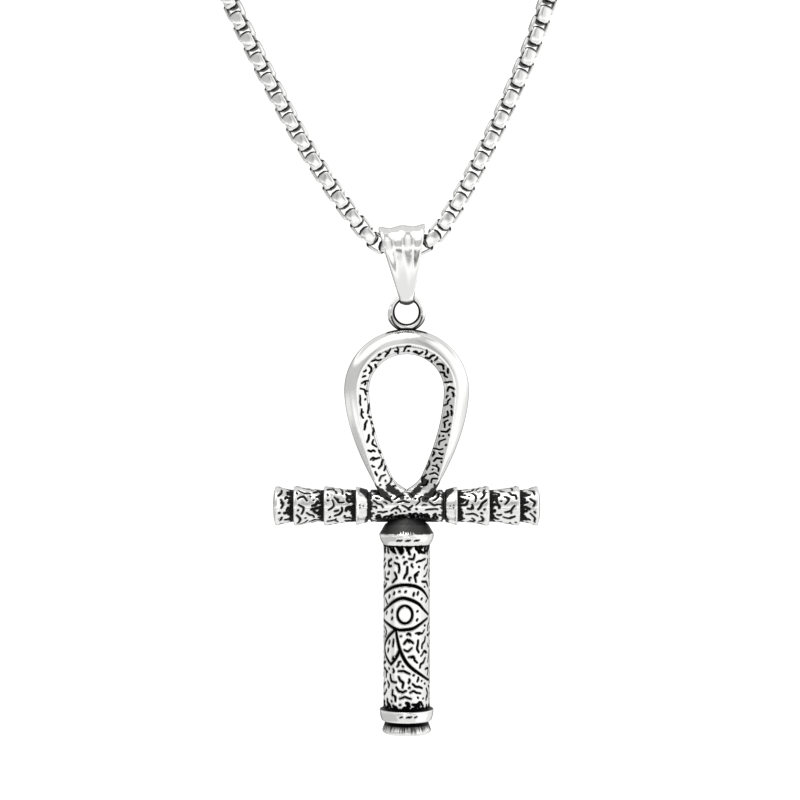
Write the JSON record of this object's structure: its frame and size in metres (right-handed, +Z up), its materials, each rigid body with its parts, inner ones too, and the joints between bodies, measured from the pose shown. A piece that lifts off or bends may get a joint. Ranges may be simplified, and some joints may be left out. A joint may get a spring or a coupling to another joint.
{
  "type": "ankh pendant necklace",
  "caption": "Solid ankh pendant with an engraved eye, hung by a fluted bail on a box chain that closes with a plain barrel clasp at the nape.",
  "frame": {"origin": "middle of the neck opening, level with the clasp at the nape, where a neck holds the necklace up", "axes": "+Z up, +X to the right of a viewer who faces the pendant, +Y from the pendant towards the nape"},
  "size_m": [0.1268, 0.1478, 0.2514],
  "materials": {
    "cast_steel": "polished cast stainless steel with blackened recesses",
    "bail_steel": "polished stainless steel",
    "chain_steel": "polished stainless steel box links",
    "clasp_steel": "polished stainless steel"
  },
  "bodies": {
    "necklace": {"chain": "chain_steel", "clasp": "clasp_steel"},
    "bail": {"bail": "bail_steel"},
    "pendant": {"ankh": "cast_steel"}
  },
  "joints": [
    {"name": "bail_swing", "type": "hinge", "parent": "necklace", "child": "bail", "pos_m": [0, -0.08, -0.186], "axis": [1, 0, 0], "range_deg": [-45, 45]},
    {"name": "pendant_swing", "type": "hinge", "parent": "bail", "child": "pendant", "pos_m": [0, -0.08, -0.1925], "axis": [1, 0, 0], "range_deg": [-80, 80]}
  ]
}
